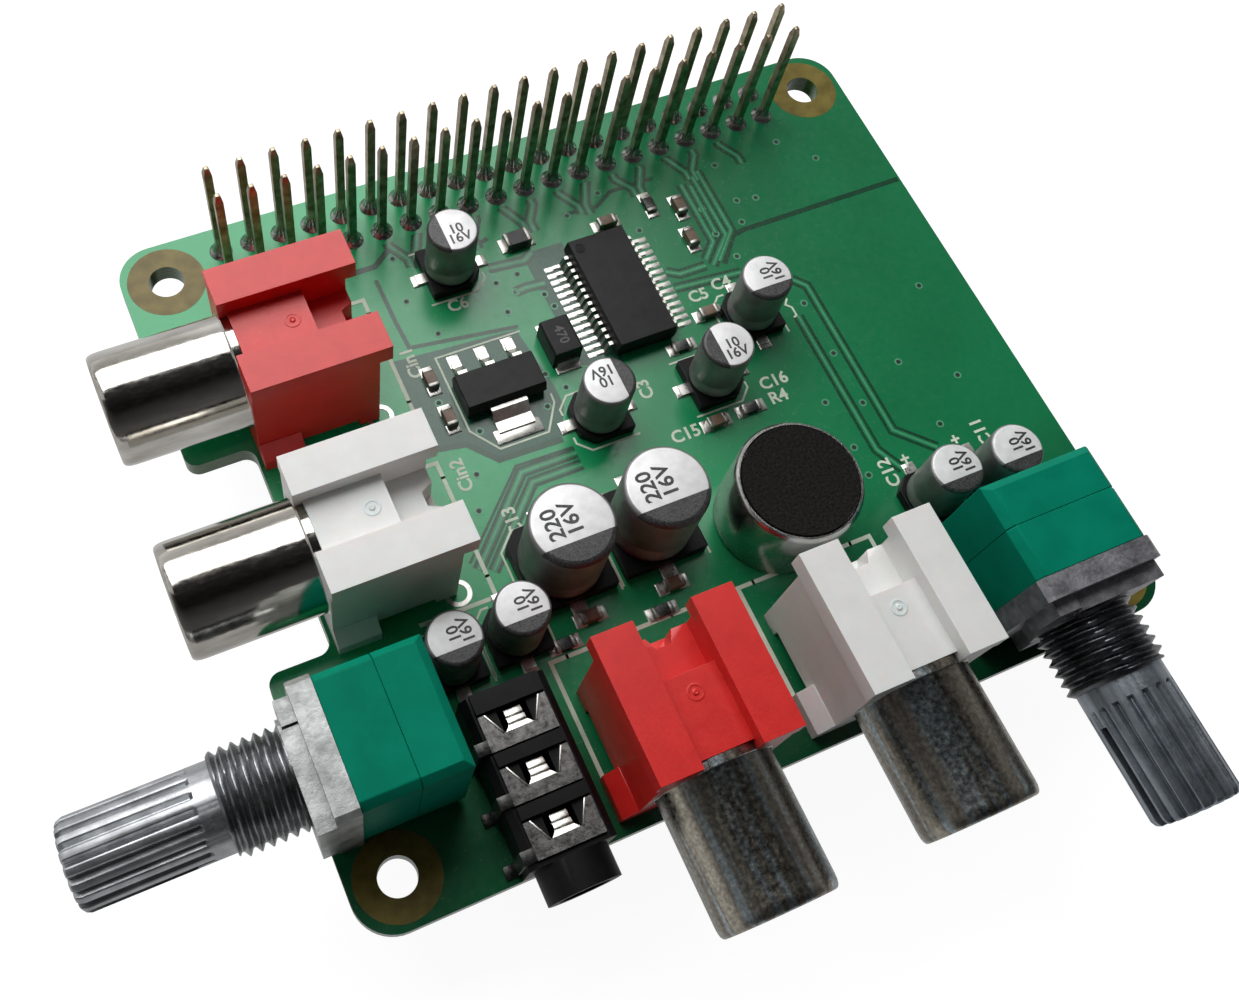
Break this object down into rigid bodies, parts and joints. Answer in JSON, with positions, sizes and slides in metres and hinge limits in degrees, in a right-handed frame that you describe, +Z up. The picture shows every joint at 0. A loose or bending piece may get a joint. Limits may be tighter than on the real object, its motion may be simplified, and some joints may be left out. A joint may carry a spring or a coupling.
{
  "type": "audio expansion board",
  "caption": "Add-on sound board with a stacking pin header, red and white phono sockets, turning volume controls, a headphone jack and a microphone.",
  "frame": {"origin": "centre of the four mounting holes, on the underside of the circuit board", "axes": "+Z up out of the board's component side, +Y towards the pin header, +X along the header, so the left sockets face -X and the front sockets face -Y"},
  "size_m": [0.0798, 0.0695, 0.0217],
  "materials": {
    "board_green": "solder-masked glass laminate, semi-gloss",
    "black_plastic": "moulded, satin",
    "pin_metal": "tin and gold flash over brass, bright",
    "tin_metal": "tinned, bright",
    "red_plastic": "moulded, satin",
    "white_plastic": "moulded, satin",
    "nickel_sleeve": "nickel plate, bright",
    "frame_metal": "cast zinc alloy, plated, slightly worn",
    "teal_plastic": "moulded, satin",
    "shaft_metal": "dull dark plate",
    "can_metal": "drawn, bright",
    "mic_metal": "drawn, satin",
    "black_felt": "felt",
    "chip_black": "moulded epoxy, matt",
    "bead_grey": "sintered ferrite, matt",
    "chip_tan": "sintered, matt",
    "chip_dark": "glazed, semi-gloss"
  },
  "bodies": {
    "board": {"audio_jack_body": "black_plastic", "audio_jack_ring_contact": "tin_metal", "audio_jack_sleeve_contact": "tin_metal", "audio_jack_tip_contact": "tin_metal", "capacitor_bases": "black_plastic", "capacitor_can_large_a": "can_metal", "capacitor_can_large_b": "can_metal", "capacitor_can_small_a": "can_metal", "capacitor_can_small_b": "can_metal", "capacitor_can_small_c": "can_metal", "capacitor_can_small_d": "can_metal", "capacitor_can_small_e": "can_metal", "capacitor_can_small_f": "can_metal", "capacitor_can_small_g": "can_metal", "capacitor_can_small_h": "can_metal", "capacitor_leads": "tin_metal", "chip_capacitors": "chip_tan", "chip_resistors": "chip_dark", "circuit_board": "board_green", "codec_chip_body": "chip_black", "codec_chip_leads": "tin_metal", "ferrite_bead": "bead_grey", "front_red_phono_contact": "tin_metal", "front_red_phono_housing": "red_plastic", "front_red_phono_sleeve": "nickel_sleeve", "front_white_phono_contact": "tin_metal", "front_white_phono_housing": "white_plastic", "front_white_phono_sleeve": "nickel_sleeve", "header_pins": "pin_metal", "header_socket": "black_plastic", "inductor_body": "chip_black", "inductor_terminals": "tin_metal", "left_pot_frame": "frame_metal", "left_pot_front_case": "teal_plastic", "left_pot_pins": "tin_metal", "left_pot_rear_case": "teal_plastic", "left_red_phono_contact": "tin_metal", "left_red_phono_housing": "red_plastic", "left_red_phono_sleeve": "nickel_sleeve", "left_white_phono_contact": "tin_metal", "left_white_phono_housing": "white_plastic", "left_white_phono_sleeve": "nickel_sleeve", "microphone_can": "mic_metal", "microphone_felt": "black_felt", "microphone_pins": "tin_metal", "regulator_body": "chip_black", "regulator_leads": "tin_metal", "right_pot_frame": "frame_metal", "right_pot_front_case": "teal_plastic", "right_pot_pins": "tin_metal", "right_pot_rear_case": "teal_plastic"},
    "left_shaft": {"left_pot_shaft": "shaft_metal", "left_pot_rotors": "black_plastic"},
    "right_shaft": {"right_pot_shaft": "shaft_metal", "right_pot_rotors": "black_plastic"}
  },
  "joints": [
    {"name": "left_control_turn", "type": "hinge", "parent": "board", "child": "left_shaft", "pos_m": [-0.0319, -0.01715, 0.0081], "axis": [-1, 0, 0], "range_deg": [-150, 150]},
    {"name": "right_control_turn", "type": "hinge", "parent": "board", "child": "right_shaft", "pos_m": [0.0205, -0.0261, 0.0081], "axis": [0, -1, 0], "range_deg": [-150, 150]}
  ]
}
